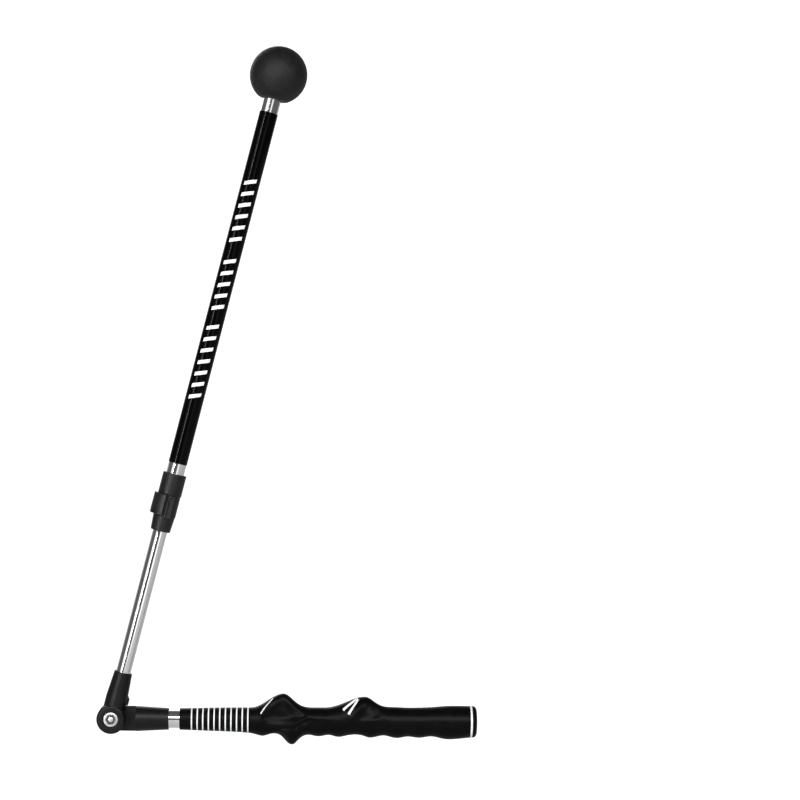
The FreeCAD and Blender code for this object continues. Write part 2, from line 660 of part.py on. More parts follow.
def make_lever_pin():
    body = new_body("lever_pin")
    circle = new_sketch(body, "circle", "XY_Plane", offset="lever_bottom")
    draw_circle(circle, PIN_SPOT, "lever_pin_radius")
    extrude(body, "pin", circle, "lever_top - lever_bottom")
    return place(body, "arm")


def round_bar(name, radius, low, height, centre=("0", "0"), sector=None):
    """A Part cylinder or a sector of one, between two angle aliases, parallel to the tube."""
    bar = doc.addObject("Part::Cylinder", name)
    bind(bar, "Radius", radius)
    bind(bar, "Height", height)
    if sector:
        start, end = sector
        bind(bar, "Angle", f"{end} - {start}")
        bar.Placement.Rotation = Rotation(Vector(0, 0, 1), size[start])
    bind(bar, "Placement.Base.x", centre[0])
    bind(bar, "Placement.Base.y", centre[1])
    bind(bar, "Placement.Base.z", low)
    return bar


def combine(kind, name, first, second):
    result = doc.addObject(f"Part::{kind}", name)
    result.Base = first
    result.Tool = second
    return result


def make_clamp_lever():
    """A curved shell around the left front of the clamp, on a barrel with an eccentric cam."""
    height = "lever_top - lever_bottom"
    barrel_low = "lever_bottom + ear_height + ear_play"
    barrel_height = f"{height} - 2 * ( ear_height + ear_play )"
    shell = round_bar("lever_shell", "lever_outside", "lever_bottom", height,
                      sector=("lever_root_angle", "lever_front_angle"))
    root = round_bar("lever_root", "lever_outside", barrel_low, barrel_height,
                     sector=("lever_barrel_angle", "lever_front_angle"))
    hollow = round_bar("lever_hollow", "lever_inside", "lever_bottom - overrun",
                       f"{height} + 2 * overrun")
    barrel = round_bar("lever_barrel", "barrel_radius", barrel_low, barrel_height, PIN_SPOT)
    cam = round_bar("lever_cam", "cam_radius", "pad_bottom + cam_inset",
                    "pad_top - pad_bottom - 2 * cam_inset",
                    ("cam_offset - lever_pin_left", "lever_pin_behind"))
    bore = round_bar("lever_bore", "lever_pin_radius + bolt_play", "lever_bottom - overrun",
                     f"{height} + 2 * overrun", PIN_SPOT)
    solid = combine("Fuse", "lever_solid", shell, root)
    curved = combine("Cut", "lever_curved", solid, hollow)
    with_barrel = combine("Fuse", "lever_with_barrel", curved, barrel)
    with_cam = combine("Fuse", "lever_with_cam", with_barrel, cam)
    bored = combine("Cut", "lever_bored", with_cam, bore)
    doc.recompute()
    rounded = doc.addObject("Part::Fillet", "clamp_lever")
    rounded.Base = bored
    radius = size["lever_edge"]
    rounded.Edges = [(number, radius, radius)
                     for number, edge in enumerate(bored.Shape.Edges, start=1)
                     if is_lever_outer_edge(edge)]
    rounded.Label = "clamp_lever"
    return place(rounded, "arm")


def is_lever_outer_edge(edge):
    """True for the long edges of the lever's shell that a finger touches."""
    middle = edge.valueAt((edge.FirstParameter + edge.LastParameter) / 2)
    on_outside = abs(math.hypot(middle.x, middle.y) - size["lever_outside"]) < SAME_LENGTH
    from_end = min(abs(middle.z - size["lever_bottom"]), abs(middle.z - size["lever_top"]))
    right_of_pin_half = middle.x > -0.5 * size["lever_pin_left"]
    return on_outside and (from_end < SAME_LENGTH or right_of_pin_half)


# ---------------------------------------------------------------- ball

def make_ball():
    body = new_body("ball")
    base_radius = "sqrt( ball_radius ^ 2 - ( ball_centre - ball_base ) ^ 2 )"
    turned(body, "outside", [("0", "ball_base"), (base_radius, "ball_base", "ball_radius"),
                             ("0", "ball_centre + ball_radius")])
    dress_edges(body, "Fillet", "base_rounding", "ball_edge",
                lambda edge: is_level(edge, size["ball_base"]))
    turned(body, "cavity", [
        ("0", "ball_base - overrun"), ("outer_radius", "ball_base - overrun"),
        ("outer_radius", "outer_end"),
        ("hub_flange_radius", "outer_end"), ("hub_flange_radius", "hub_flange_top"),
        ("hub_nose_radius", "hub_flange_top"), ("hub_nose_radius", "hub_nose_top"),
        ("0", "hub_nose_top")], cut=True)
    return place(body, "arm")


def make_ball_hub():
    body = new_body("ball_hub")
    spigot = "outer_radius - outer_wall"
    turned(body, "hub", [
        ("0", "hub_spigot_start"), (spigot, "hub_spigot_start"), (spigot, "outer_end"),
        ("hub_flange_radius", "outer_end"), ("hub_flange_radius", "hub_flange_top"),
        ("hub_nose_radius", "hub_flange_top"), ("hub_nose_radius", "hub_nose_top"),
        ("0", "hub_nose_top")])
    circle = new_sketch(body, "pin_circle", "XZ_Plane")
    draw_circle(circle, ("0", "hub_pin_at"), "pin_radius")
    extrude(body, "pin_hole", circle, "outer_radius * 3", cut=True, both_ways=True)
    return place(body, "arm")


def make_hub_pin():
    body = new_body("hub_pin")
    circle = new_sketch(body, "circle", "XZ_Plane")
    draw_circle(circle, ("0", "hub_pin_at"), "pin_radius")
    extrude(body, "pin", circle, "hub_pin_length", both_ways=True)
    return place(body, "arm")


# ---------------------------------------------------------------- grip

def slope_weights(row):
    """Weights of the stations whose values give the grip's slope at a station."""
    before = max(row - 1, 0)
    after = min(row + 1, len(GRIP_STATIONS) - 1)
    span = GRIP_STATIONS[after][0] - GRIP_STATIONS[before][0]
    return [(before, -1 / span), (after, 1 / span)]


def smooth_weights(row, share):
    """Weights of the stations around a place that lies a share of the way from row to row + 1."""
    span = GRIP_STATIONS[row + 1][0] - GRIP_STATIONS[row][0]
    value_share = share ** 2 * (3 - 2 * share)
    start_slope = span * share * (1 - share) ** 2
    end_slope = -span * share ** 2 * (1 - share)
    weights = {row: 1 - value_share, row + 1: value_share}
    for factor, station in ((start_slope, row), (end_slope, row + 1)):
        for neighbour, weight in slope_weights(station):
            weights[neighbour] = weights.get(neighbour, 0) + factor * weight
    return weights


def weighted(column, weights):
    """A formula for a weighted sum of one column of the station sheet."""
    terms = [f"GripStations.{column}{row + 1} * {weight:.6f}"
             for row, weight in sorted(weights.items())]
    return "(" + " + ".join(terms) + ")"


def make_grip_section(number, distance):
    """An upright ellipse across the grip's axis, bound to the stations around it."""
    row = 0
    while row < len(GRIP_STATIONS) - 2 and distance > GRIP_STATIONS[row + 1][0]:
        row += 1
    start = GRIP_STATIONS[row][0]
    end = GRIP_STATIONS[row + 1][0]
    share = (distance - start) / (end - start)
    curve = smooth_weights(row, share)
    top, bottom, half_width = (weighted(column, curve) for column in "BCD")
    ellipse = doc.addObject("Part::Ellipse", f"grip_section_{number}")
    ellipse.setExpression("MajorRadius", f"max(({top} + {bottom}) / 2; {half_width})")
    ellipse.setExpression("MinorRadius", f"min(({top} + {bottom}) / 2; {half_width})")
    ellipse.Placement.Rotation = Rotation(Vector(0, 0, 1), Vector(0, -1, 0), Vector(1, 0, 0), "ZXY")
    ellipse.setExpression("Placement.Base.x", weighted("A", {row: 1 - share, row + 1: share}))
    ellipse.setExpression("Placement.Base.z", f"({top} - {bottom}) / 2")
    return ellipse


def make_ring_cutter(number):
    """A ring, along local Z, that cuts one shallow groove around the grip's neck."""
    middle = f"ring_first + {number} * ring_pitch"
    low = f"{middle} - ring_width / 2"
    floor = f"neck_start_radius + {number} * neck_growth - ring_depth"
    outer = round_bar(f"ring_outer_{number}", "knuckle_radius", low, "ring_width")
    inner = round_bar(f"ring_inner_{number}", floor, low, "ring_width")
    return combine("Cut", f"ring_cutter_{number}", outer, inner)


def make_grip_sleeve():
    """The grip: a loft through its sections, less the shaft's bore and the ring grooves."""
    outside = doc.addObject("Part::Loft", "grip_outside")
    first = GRIP_STATIONS[0][0]
    step = (GRIP_STATIONS[-1][0] - first) / (GRIP_SECTION_COUNT - 1)
    outside.Sections = [make_grip_section(number, first + number * step)
                        for number in range(GRIP_SECTION_COUNT)]
    outside.Solid = True
    bore = round_bar("grip_bore", "shaft_radius", "handle_socket_end", "butt_end - handle_socket_end")
    cutters = doc.addObject("Part::MultiFuse", "grip_cutters")
    cutters.Shapes = [bore] + [make_ring_cutter(number) for number in range(RING_COUNT)]
    cutters.Placement.Rotation = Rotation(Vector(0, 1, 0), 90)
    sleeve = combine("Cut", "grip_sleeve", outside, cutters)
    sleeve.Label = "grip_sleeve"
    return place(sleeve, "grip")


def make_butt_cap():
    body = new_body("butt_cap")
    spigot = "shaft_radius - shaft_wall"
    turned(body, "cap", [
        ("0", "cap_spigot_start"), (spigot, "cap_spigot_start"), (spigot, "cap_plug_start"),
        ("shaft_radius", "cap_plug_start"), ("shaft_radius", "butt_start"),
        ("butt_radius", "butt_start"), ("butt_radius", "butt_end - butt_round", "butt_round"),
        ("butt_radius - butt_round", "butt_end"), ("0", "butt_end")])
    turned(body, "vent_hole", [
        ("0", "cap_spigot_start - overrun"), ("vent_radius", "cap_spigot_start - overrun"),
        ("vent_radius", "butt_end + overrun"), ("0", "butt_end + overrun")], cut=True)
    return place(body, "handle")


# ---------------------------------------------------------------- the whole stick

def make_handle():
    make_grip_sleeve()
    make_butt_cap()
    make_tube("handle_shaft", "handle", "shaft_radius", "shaft_wall", "socket_floor", "shaft_end",
              pin_at="handle_pin_at")
    make_handle_knuckle()
    make_cross_pin("handle_pin", "handle", "shaft_radius", "handle_pin_at", "handle_pin_tail")


def make_arm():
    make_arm_knuckle()
    make_cross_pin("arm_pin", "arm", "inner_radius", "arm_pin_at", "arm_pin_tail")
    make_tube("inner_tube", "arm", "inner_radius", "inner_wall", "socket_floor", "inner_end",
              pin_at="arm_pin_at")
    make_guide_bush()
    make_tube("outer_tube", "arm", "outer_radius", "outer_wall", "outer_start", "outer_end",
              pin_at="hub_pin_at")
    make_tube("film_sleeve", "arm", "outer_radius + film_thickness", "film_thickness",
              "film_start", "film_end")
    make_clamp_body()
    make_clamp_liner()
    make_brake_pad()
    make_lever_pin()
    make_clamp_lever()
    make_ball()
    make_ball_hub()
    make_hub_pin()


def check_document():
    """Stop unless every object is built and every sub-part is one valid solid."""
    broken = [item.Label for item in doc.Objects if {"Invalid", "Error"} & set(item.State)]
    if broken:
        raise RuntimeError(f"objects that failed to build: {broken}")
    for item in sub_parts:
        shape = item.Shape
        if shape.isNull() or not shape.isValid() or len(shape.Solids) != 1:
            raise RuntimeError(f"{item.Label} is not one valid solid")


def main():
    global doc, sizes, size, sub_parts
    doc = FreeCAD.newDocument("swing_trainer_stick")
    sizes = fill_sheet(doc)
    size = {alias: value for alias, value, meaning in DIMENSIONS}
    sub_parts = []
    fill_station_sheet(doc)
    make_handle()
    make_hinge_hardware()
    make_arm()
    doc.recompute()
    check_document()
    os.makedirs("parts", exist_ok=True)
    for item in sub_parts:
        item.Shape.exportStep(f"parts/{item.Label}.step")
        print(f"{item.Label}: {item.Shape.Volume / 1000:.2f} cm3")


main()
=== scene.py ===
"""The looks of the swing trainer stick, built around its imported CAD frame.

Lengths are in metres.  A distance "along the grip" or "along the arm" starts at the hinge bolt.
"""
import json
import math

import bmesh
import bpy
import numpy as np
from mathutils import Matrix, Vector
from mathutils.bvhtree import BVHTree


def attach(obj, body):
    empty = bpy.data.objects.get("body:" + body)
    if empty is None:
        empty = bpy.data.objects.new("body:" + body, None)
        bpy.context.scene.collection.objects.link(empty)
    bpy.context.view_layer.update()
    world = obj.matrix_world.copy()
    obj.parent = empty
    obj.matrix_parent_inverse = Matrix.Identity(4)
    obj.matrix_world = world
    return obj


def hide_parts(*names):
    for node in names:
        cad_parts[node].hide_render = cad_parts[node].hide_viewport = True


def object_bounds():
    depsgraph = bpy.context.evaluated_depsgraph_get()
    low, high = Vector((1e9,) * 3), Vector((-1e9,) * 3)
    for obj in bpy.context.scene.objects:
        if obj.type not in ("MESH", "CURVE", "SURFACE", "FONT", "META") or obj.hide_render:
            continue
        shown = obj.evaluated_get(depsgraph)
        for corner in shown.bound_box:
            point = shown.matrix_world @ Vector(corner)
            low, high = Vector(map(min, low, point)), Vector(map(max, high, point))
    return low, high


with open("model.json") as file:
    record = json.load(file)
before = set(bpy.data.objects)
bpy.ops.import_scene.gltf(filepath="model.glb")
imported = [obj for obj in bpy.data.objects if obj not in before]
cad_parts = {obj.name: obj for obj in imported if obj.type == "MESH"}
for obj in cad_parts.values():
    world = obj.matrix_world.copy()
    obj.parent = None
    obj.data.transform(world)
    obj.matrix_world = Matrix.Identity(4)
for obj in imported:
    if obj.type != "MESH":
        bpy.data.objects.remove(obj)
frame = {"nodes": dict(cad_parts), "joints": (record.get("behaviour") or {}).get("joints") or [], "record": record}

cad_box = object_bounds()
MM = 0.001
joints = {joint["name"]: joint for joint in frame["joints"]}
HINGE = Vector(joints["arm_fold"]["pos_m"])
ARM = Vector(joints["arm_length"]["axis"]).normalized()
GRIP = Vector((1, 0, 0))
BACK = Vector((0, 1, 0))
UP = Vector((0, 0, 1))
TO_GRIP = BACK.cross(ARM).normalized()
FAR = 60 * MM  # outside the grip, where the rays that measure it start


def directions(along):
    """The frame of a round part: across, back and along, for parts on the grip or on the arm."""
    return (TO_GRIP, BACK, ARM) if along is ARM else (-UP, BACK, GRIP)


def place_of(along, across, back, distance):
    """A point given in the frame of the grip or of the arm."""
    side, rear, axis = directions(along)
    return HINGE + side * across + rear * back + axis * distance


def corners(node):
    return [vertex.co for vertex in frame["nodes"][node].data.vertices]


def reach(node, along):
    """How far along the grip or the arm a CAD node starts and ends."""
    distances = [(corner - HINGE).dot(along) for corner in corners(node)]
    return min(distances), max(distances)


def widest(node, along):
    """The largest distance of a CAD node from the axis of the grip or of the arm."""
    offsets = [corner - HINGE for corner in corners(node)]
    return max((offset - along * offset.dot(along)).length for offset in offsets)


# ---------------------------------------------------------------- mesh helpers

def add_to_scene(name, data):
    item = bpy.data.objects.new(name, data)
    bpy.context.scene.collection.objects.link(item)
    return item


def new_object(name, vertices, faces):
    mesh = bpy.data.meshes.new(name)
    mesh.from_pydata([tuple(vertex) for vertex in vertices], [], faces)
    mesh.validate()
    mesh.update()
    mesh.shade_smooth()
    return add_to_scene(name, mesh)


def fix_normals(piece):
    mesh = bmesh.new()
    mesh.from_mesh(piece.data)
    bmesh.ops.recalc_face_normals(mesh, faces=mesh.faces)
    mesh.to_mesh(piece.data)
    mesh.free()
    return piece


def weld(piece, distance=1e-6):
    """Join points that lie closer together than this distance."""
    mesh = bmesh.new()
    mesh.from_mesh(piece.data)
    bmesh.ops.remove_doubles(mesh, verts=mesh.verts, dist=distance)
    mesh.to_mesh(piece.data)
    mesh.free()
    return piece


def sharpen(piece, angle=35):
    """Smooth shading with sharp edges where faces meet at more than this angle."""
    piece.data.shade_smooth()
    piece.data.set_sharp_from_angle(angle=math.radians(angle))
    return piece


def bake_modifiers(piece):
    """Replace a piece's mesh by what its modifiers make of it."""
    graph = bpy.context.evaluated_depsgraph_get()
    result = bpy.data.meshes.new_from_object(piece.evaluated_get(graph))
    piece.modifiers.clear()
    piece.data = result
    return piece


def thicken(piece, thickness):
    """Give a sheet a thickness, half of it to each side."""
    shell = piece.modifiers.new("shell", "SOLIDIFY")
    shell.thickness = thickness
    shell.offset = 0
    return sharpen(fix_normals(bake_modifiers(piece)))


def circle(steps):
    return [2 * math.pi * step / steps for step in range(steps)]


def turned_faces(steps, count, closed=True):
    """Faces of a turned body: an outline of count points, closed or open, at each step around."""
    faces = []
    for step in range(steps):
        here = step * count
        following = (step + 1) % steps * count
        for point in range(count if closed else count - 1):
            other = (point + 1) % count
            faces.append((here + point, following + point, following + other, here + other))
    return faces


def band_faces(first, second, count):
    """Faces between two closed loops of count points, given the number of each first point."""
    faces = []
    for point in range(count):
        following = (point + 1) % count
        faces.append((first + point, first + following, second + following, second + point))
    return faces


def sheet_faces(rows, columns):
    """Faces of a sheet, rows by columns of them."""
    width = columns + 1
    return [(here, here + 1, here + width + 1, here + width)
            for row in range(rows) for here in range(row * width, row * width + columns)]


def lathe(name, along, outline, steps=128):
    """A body of revolution about the grip's or the arm's axis; outline is (radius, distance)."""
    vertices = [place_of(along, radius * math.cos(angle), radius * math.sin(angle), distance)
                for angle in circle(steps) for radius, distance in outline]
    faces = turned_faces(steps, len(outline))
    return sharpen(fix_normals(weld(new_object(name, vertices, faces))))


def arc_points(centre, radius, start, end, steps):
    """Points (radius, distance) of an arc, for a lathe outline; angles in degrees."""
    points = []
    for step in range(steps + 1):
        angle = math.radians(start + (end - start) * step / steps)
        points.append((centre[0] + radius * math.cos(angle), centre[1] + radius * math.sin(angle)))
    return points


def finish_piece(piece, body, slot, *nodes):
    """Give a piece its material and body, and let it stand in for CAD nodes if any are named."""
    piece.data.materials.clear()
    piece.data.materials.append(materials[slot])
    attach(piece, body)
    if nodes:
        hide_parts(*nodes)
    return piece


# ---------------------------------------------------------------- materials

def shader_of(material):
    return material.node_tree.nodes["Principled BSDF"]


def new_material(name, colour, roughness, metallic=0.0, level=0.5):
    material = bpy.data.materials.new(name)
    material.use_nodes = True
    shader = shader_of(material)
    shader.inputs["Base Color"].default_value = (*colour, 1)
    shader.inputs["Roughness"].default_value = roughness
    shader.inputs["Metallic"].default_value = metallic
    shader.inputs["Specular IOR Level"].default_value = level
    return material


def add_node(material, kind, **settings):
    node = material.node_tree.nodes.new(kind)
    for name, value in settings.items():
        node.inputs[name.replace("_", " ")].default_value = value
    return node


def noise(material, scale, detail=4.0, roughness=0.6, stretch=(1, 1, 1)):
    """A noise texture in the piece's own metres, stretched along its axes."""
    links = material.node_tree.links
    place = add_node(material, "ShaderNodeTexCoord")
    mapping = add_node(material, "ShaderNodeMapping", Scale=stretch)
    texture = add_node(material, "ShaderNodeTexNoise", Scale=scale, Detail=detail,
                       Roughness=roughness)
    links.new(place.outputs["Object"], mapping.inputs["Vector"])
    links.new(mapping.outputs["Vector"], texture.inputs["Vector"])
    return texture.outputs["Fac"]


def vary(material, source, socket, low, high):
    """Let a shader value follow a texture between two limits."""
    spread = add_node(material, "ShaderNodeMapRange", To_Min=low, To_Max=high)
    links = material.node_tree.links
    links.new(source, spread.inputs["Value"])
    links.new(spread.outputs["Result"], shader_of(material).inputs[socket])


def vary_colour(material, source, dark, light):
    """Let the colour follow the middle range of a texture."""
    ramp = material.node_tree.nodes.new("ShaderNodeValToRGB")
    for element, position, colour in zip(ramp.color_ramp.elements, (0.3, 0.7), (dark, light)):
        element.position = position
        element.color = (*colour, 1)
    links = material.node_tree.links
    links.new(source, ramp.inputs["Fac"])
    links.new(ramp.outputs["Color"], shader_of(material).inputs["Base Color"])


def roughen(material, sources):
    """Bump from one or more textures, each with its depth in metres."""
    links = material.node_tree.links
    previous = None
    for source, depth in sources:
        bump = add_node(material, "ShaderNodeBump", Strength=1.0, Distance=depth)
        links.new(source, bump.inputs["Height"])
        if previous:
            links.new(previous, bump.inputs["Normal"])
        previous = bump.outputs["Normal"]
    links.new(previous, shader_of(material).inputs["Normal"])


def moulded_material(name, dark, light, roughness, grain=2600.0, grain_depth=0.06 * MM, level=0.5):
    """Moulded rubber or plastic: fine spark grain, faint mottling and uneven gloss."""
    material = new_material(name, light, roughness, level=level)
    mottle_scale = 90.0
    unevenness = 0.06
    mottle = noise(material, mottle_scale, detail=3.0)
    fine = noise(material, grain, detail=2.0)
    vary_colour(material, mottle, dark, light)
    vary(material, mottle, "Roughness", roughness - unevenness, roughness + unevenness)
    roughen(material, [(fine, grain_depth)])
    return material


def metal_material(name, colour, low, high, grain):
    """Polished or satin metal whose gloss wanders a little."""
    material = new_material(name, colour, low, metallic=1.0)
    vary(material, noise(material, grain, detail=3.0), "Roughness", low, high)
    return material


DEEP_BLACK = ((0.0015, 0.0015, 0.0017), (0.003, 0.003, 0.0032))
HIDDEN_BLACK = ((0.02, 0.02, 0.02), (0.03, 0.03, 0.03))
# Slot: the darker and lighter colour, the roughness, and what differs from the usual settings.
MOULDED = {
    "grip_rubber": (DEEP_BLACK, 0.33, {"level": 0.065}),
    "cap_rubber": (DEEP_BLACK, 0.34, {"level": 0.06}),
    "knuckle_plastic": (((0.003, 0.003, 0.0032), (0.006, 0.006, 0.0062)), 0.4,
                        {"grain": 1900.0, "level": 0.2}),
    "clamp_plastic": (((0.005, 0.005, 0.0053), (0.011, 0.011, 0.0115)), 0.4,
                      {"grain": 1500.0, "grain_depth": 0.1 * MM, "level": 0.3}),
    # liner_plastic also colours the ring of painted shade in the bolt's socket.
    "liner_plastic": (HIDDEN_BLACK, 0.4, {}),
    "hub_plastic": (((0.03, 0.03, 0.03), (0.05, 0.05, 0.05)), 0.45, {}),
    "pad_rubber": (HIDDEN_BLACK, 0.7, {}),
    "nylon_white": (((0.72, 0.72, 0.68), (0.8, 0.8, 0.76)), 0.4, {}),
    "nylon_blue": (((0.03, 0.1, 0.4), (0.05, 0.14, 0.5)), 0.35, {}),
}
# Slot: the colour, the lowest and highest roughness, and the scale of the streaks.
METALS = {
    "chrome_steel": ((0.83, 0.835, 0.845), 0.03, 0.07, 500.0),
    "bolt_steel": ((0.56, 0.56, 0.55), 0.4, 0.52, 900.0),
    "spring_steel": ((0.4, 0.4, 0.41), 0.3, 0.5, 900.0),
}


def film_material():
    """Glossy shrunk film with a faint long waviness."""
    film = new_material("film_gloss", (0.001, 0.001, 0.0012), 0.05, level=0.09)
    waves = noise(film, 60.0, detail=2.0, stretch=(1, 1, 0.25))
    roughen(film, [(waves, 0.01 * MM)])
    return film


def ball_material():
    """Matt foam rubber with an uneven skin and small pores."""
    dark, light = (0.003, 0.003, 0.0035), (0.007, 0.007, 0.0075)
    ball = new_material("ball_rubber", light, 0.5, level=0.28)
    skin = noise(ball, 160.0, detail=6.0, roughness=0.7)
    pores = noise(ball, 700.0, detail=4.0, roughness=0.7)
    vary_colour(ball, skin, dark, light)
    vary(ball, skin, "Roughness", 0.46, 0.64)
    roughen(ball, [(skin, 0.6 * MM), (pores, 0.2 * MM)])
    return ball


def paint_material():
    paint = new_material("white_paint", (0.85, 0.85, 0.85), 0.45)
    vary(paint, noise(paint, 800.0), "Roughness", 0.38, 0.52)
    return paint


def make_materials():
    made = {}
    for slot, ((dark, light), roughness, extras) in MOULDED.items():
        made[slot] = moulded_material(slot, dark, light, roughness, **extras)
    for slot, (colour, low, high, grain) in METALS.items():
        made[slot] = metal_material(slot, colour, low, high, grain)
    made["film_gloss"] = film_material()
    made["ball_rubber"] = ball_material()
    made["white_paint"] = paint_material()
    return made


materials = make_materials()


# ---------------------------------------------------------------- tubes, film and ball

def make_tube(name, along, body, slot, wall, edge=0.25 * MM):
    """A drawn tube with softened rims, in place of its CAD node."""
    low, high = reach(name, along)
    outer = widest(name, along)
    bore = outer - wall
    outline = [(bore, low), (outer - edge, low), (outer, low + edge), (outer, high - edge),
               (outer - edge, high), (bore, high)]
    return finish_piece(lathe(f"{name}_drawn", along, outline), body, slot, name)


def make_tubes():
    make_tube("handle_shaft", GRIP, "handle", "chrome_steel", 0.9 * MM)
    make_tube("inner_tube", ARM, "lower_arm", "chrome_steel", 0.8 * MM)
    make_tube("outer_tube", ARM, "upper_arm", "chrome_steel", 0.8 * MM)
    make_tube("film_sleeve", ARM, "upper_arm", "film_gloss", 0.45 * MM, edge=0.1 * MM)


def make_ball():
    """The ball with its flat base, a softened rim round the base and a blind bore for the tube."""
    low, high = reach("ball", ARM)
    radius = widest("ball", ARM)
    centre = high - radius
    bore = widest("outer_tube", ARM)
    bore_end = low + 20 * MM
    half_way = low + 6 * MM
    base_radius = math.sqrt(radius ** 2 - (centre - low) ** 2)
    rim = 1.0 * MM
    rim_angle = 3
    first_angle = math.degrees(math.asin((low - centre) / radius)) + rim_angle
    outline = [(bore, half_way), (bore, low), (base_radius - 2.2 * rim, low),
               (base_radius - rim, low)]
    outline += arc_points((0, centre), radius, first_angle, 90, 96)
    outline += [(0, bore_end), (bore, bore_end)]
    ball = lathe("ball_skin", ARM, outline, steps=192)
    return finish_piece(ball, "upper_arm", "ball_rubber", "ball")


# ---------------------------------------------------------------- grip

ROWS = 660     # evenly spaced loops of points along the grip
AROUND = 224   # points in each loop
INSET = 0.02 * MM  # how far inside the sleeve's ends its radii are measured

# The grooves near the front end and the white rings in them.
RINGS = 11
RING_FIRST = 72.4 * MM
RING_PITCH = 5.05 * MM
RING_WIDTH = 1.2 * MM
RING_DEPTH = 0.4 * MM
RING_PROUD = 0.06 * MM
RING_ROOT = 0.1 * MM   # how far a ring's foot goes under the groove's floor
RING_GAP = 0.02 * MM   # between a ring and each wall of its groove
GROOVE_EDGE = 0.03 * MM  # half of the length over which the wall of a groove rises


def tree_of(piece):
    """A search tree of a mesh object that sits at the origin."""
    return BVHTree.FromPolygons([vertex.co for vertex in piece.data.vertices],
                                [polygon.vertices for polygon in piece.data.polygons])


def outward_at(angle):
    """The direction away from the grip's axis, by the angle from the top."""
    return UP * math.cos(angle) - BACK * math.sin(angle)


def radius_at(tree, centre, outward):
    """How far a surface is from a point of the grip's axis in this direction."""
    return FAR - tree.ray_cast(centre + outward * FAR, -outward)[3]


def eased(values):
    """Zero below 0, one above 1 and a smooth step between."""
    clipped = np.clip(values, 0, 1)
    return clipped * clipped * (3 - 2 * clipped)


def ring_places():
    return [RING_FIRST + number * RING_PITCH for number in range(RINGS)]


def measure_grip():
    """Radii of the CAD grip without its grooves, by distance along it and angle from the top."""
    tree = tree_of(frame["nodes"]["grip_sleeve"])
    start, end = reach("grip_sleeve", GRIP)
    rings = ring_places()
    distances = [start + INSET]
    distances += [ring - RING_PITCH / 2 for ring in rings] + [rings[-1] + RING_PITCH / 2]
    first_free = distances[-1]
    count = int((end - first_free) / MM)
    distances += [first_free + (end - first_free) * step / count for step in range(1, count)]
    distances.append(end - INSET)
    angles = np.linspace(0, 2 * math.pi, AROUND, endpoint=False)
    radii = np.zeros((len(distances), AROUND))
    for row, distance in enumerate(distances):
        centre = place_of(GRIP, 0, 0, distance)
        radii[row] = [radius_at(tree, centre, outward_at(angle)) for angle in angles]
    return np.array(distances), angles, radii


def smooth_rows(values, rounds):
    for _ in range(rounds):
        inner = (values[:-2] + 2 * values[1:-1] + values[2:]) / 4
        values = np.concatenate([values[:1], inner, values[-1:]])
    return values


def smooth_columns(values, rounds):
    for _ in range(rounds):
        values = (np.roll(values, 1, axis=1) + 2 * values + np.roll(values, -1, axis=1)) / 4
    return values


def smooth_both(values, rounds):
    return smooth_columns(smooth_rows(values, rounds), rounds)


def distance_to_line(line, along, height, closed=False):
    """Distance in mm from points (along, height) to a line of points."""
    nearest = np.full(along.shape, np.inf)
    points = line + line[:1] if closed else line
    for (x0, y0), (x1, y1) in zip(points, points[1:]):
        length = (x1 - x0) ** 2 + (y1 - y0) ** 2
        share = np.clip(((along - x0) * (x1 - x0) + (height - y0) * (y1 - y0)) / length, 0, 1)
        gap = np.hypot(along - x0 - share * (x1 - x0), height - y0 - share * (y1 - y0))
        nearest = np.minimum(nearest, gap)
    return nearest


def depth_inside(outline, along, height):
    """Distance in mm to an outline, positive inside it and negative outside."""
    inside = np.zeros(along.shape, dtype=bool)
    for (x0, y0), (x1, y1) in zip(outline, outline[1:] + outline[:1]):
        if y0 == y1:
            continue
        crosses = (y0 > height) != (y1 > height)
        inside ^= crosses & (along < x0 + (height - y0) * (x1 - x0) / (y1 - y0))
    gap = distance_to_line(outline, along, height, closed=True)
    return np.where(inside, gap, -gap)


# Sculpted features of the grip's sides, as (mm from the hinge, mm above the axis).
THUMB_PAD = [(134.5, 3.5), (139.0, 10.5), (146.0, 18.0), (152.0, 22.8), (156.5, 22.8),
             (162.0, 17.5), (168.0, 11.0), (174.5, 6.5), (174.0, 3.0), (169.0, 0.0),
             (161.0, -3.0), (149.0, -3.0), (139.7, -2.0), (135.5, 0.5)]
PAD_LIP = [(147.5, 21.3), (139.6, 12.6), (133.9, 4.2), (135.0, 0.6), (139.7, -2.4), (149.0, -3.6),
           (161.0, -3.4), (169.0, -0.3), (174.5, 3.4)]
UNDER_LIP = [(141.0, -5.6), (150.0, -6.2), (158.0, -6.0), (165.0, -4.5), (171.0, -1.0),
             (177.0, 1.0)]
HOOK_ARCH = [(143.5, -12.5), (146.5, -9.2), (151.5, -7.6), (156.0, -8.6), (159.4, -11.6),
             (161.4, -16.0), (162.4, -23.0)]
HOOK_CUP = [(145.5, -13.5), (149.5, -10.6), (154.5, -10.8), (157.6, -13.6), (160.0, -20.5),
            (155.0, -18.5), (150.0, -14.5)]
HOOK_FAR_RIDGE = [(164.2, -22.5), (166.4, -15.0), (169.2, -10.0), (173.5, -7.0)]
HOOK_VALLEY = [(164.6, -6.5), (164.7, -12.0), (164.2, -18.0)]
PALM_HOLLOW = [(171.5, 3.0), (180.0, 4.0), (190.0, 3.4), (200.0, 1.0), (204.0, -3.5),
               (199.0, -8.5), (186.0, -9.5), (176.0, -7.5), (171.0, -2.5)]
SECOND_RIDGE = [(215.5, 3.0), (219.5, 8.5), (224.0, 14.8), (228.5, 21.5)]
SECOND_CLIFF = [(218.5, 3.5), (222.5, 8.5), (227.0, 14.6), (231.5, 20.5), (237.0, 17.5),
                (243.0, 10.5), (243.0, 4.0), (234.0, 1.5), (224.0, 0.5)]
